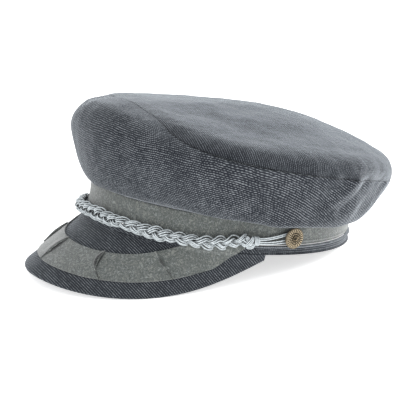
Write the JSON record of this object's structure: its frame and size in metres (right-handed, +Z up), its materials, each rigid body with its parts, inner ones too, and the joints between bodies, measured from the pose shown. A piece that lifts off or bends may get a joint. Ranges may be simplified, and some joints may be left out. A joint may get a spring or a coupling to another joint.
{
  "type": "breton fisherman cap",
  "caption": "Fisherman's cap with a full soft crown, grey band, stiff sloping peak with a tucked trim, and a plaited cord between side buttons.",
  "frame": {"origin": "middle of the whole cap's footprint, on the table that it rests on", "axes": "+Z up, peak towards -Y, wearer's left towards +X; the cap leans back on the rear of its edge strip as it lies on a table"},
  "size_m": [0.2084, 0.291, 0.1239],
  "materials": {
    "ribbed_denim": "fine ribbed dark blue and pale grey weave",
    "dark_denim": "fine ribbed dark blue weave",
    "grey_wool": "matt grey felted wool with light flecks",
    "silver_cord": "twisted silver grey cord with a slight sheen",
    "antique_brass": "dark antique brass, worn bright on the relief"
  },
  "bodies": {
    "root": {"crown_top": "ribbed_denim", "crown_side": "ribbed_denim", "band": "grey_wool", "edge_strip": "dark_denim", "peak": "dark_denim", "peak_trim": "grey_wool", "plait_strand_1": "silver_cord", "plait_strand_2": "silver_cord", "plait_strand_3": "silver_cord", "plait_knot_left": "silver_cord", "cord_lead_left_1": "silver_cord", "cord_lead_left_2": "silver_cord", "cord_lead_left_3": "silver_cord", "cord_lead_left_4": "silver_cord", "button_left": "antique_brass", "plait_knot_right": "silver_cord", "cord_lead_right_1": "silver_cord", "cord_lead_right_2": "silver_cord", "cord_lead_right_3": "silver_cord", "cord_lead_right_4": "silver_cord", "button_right": "antique_brass"}
  },
  "joints": []
}
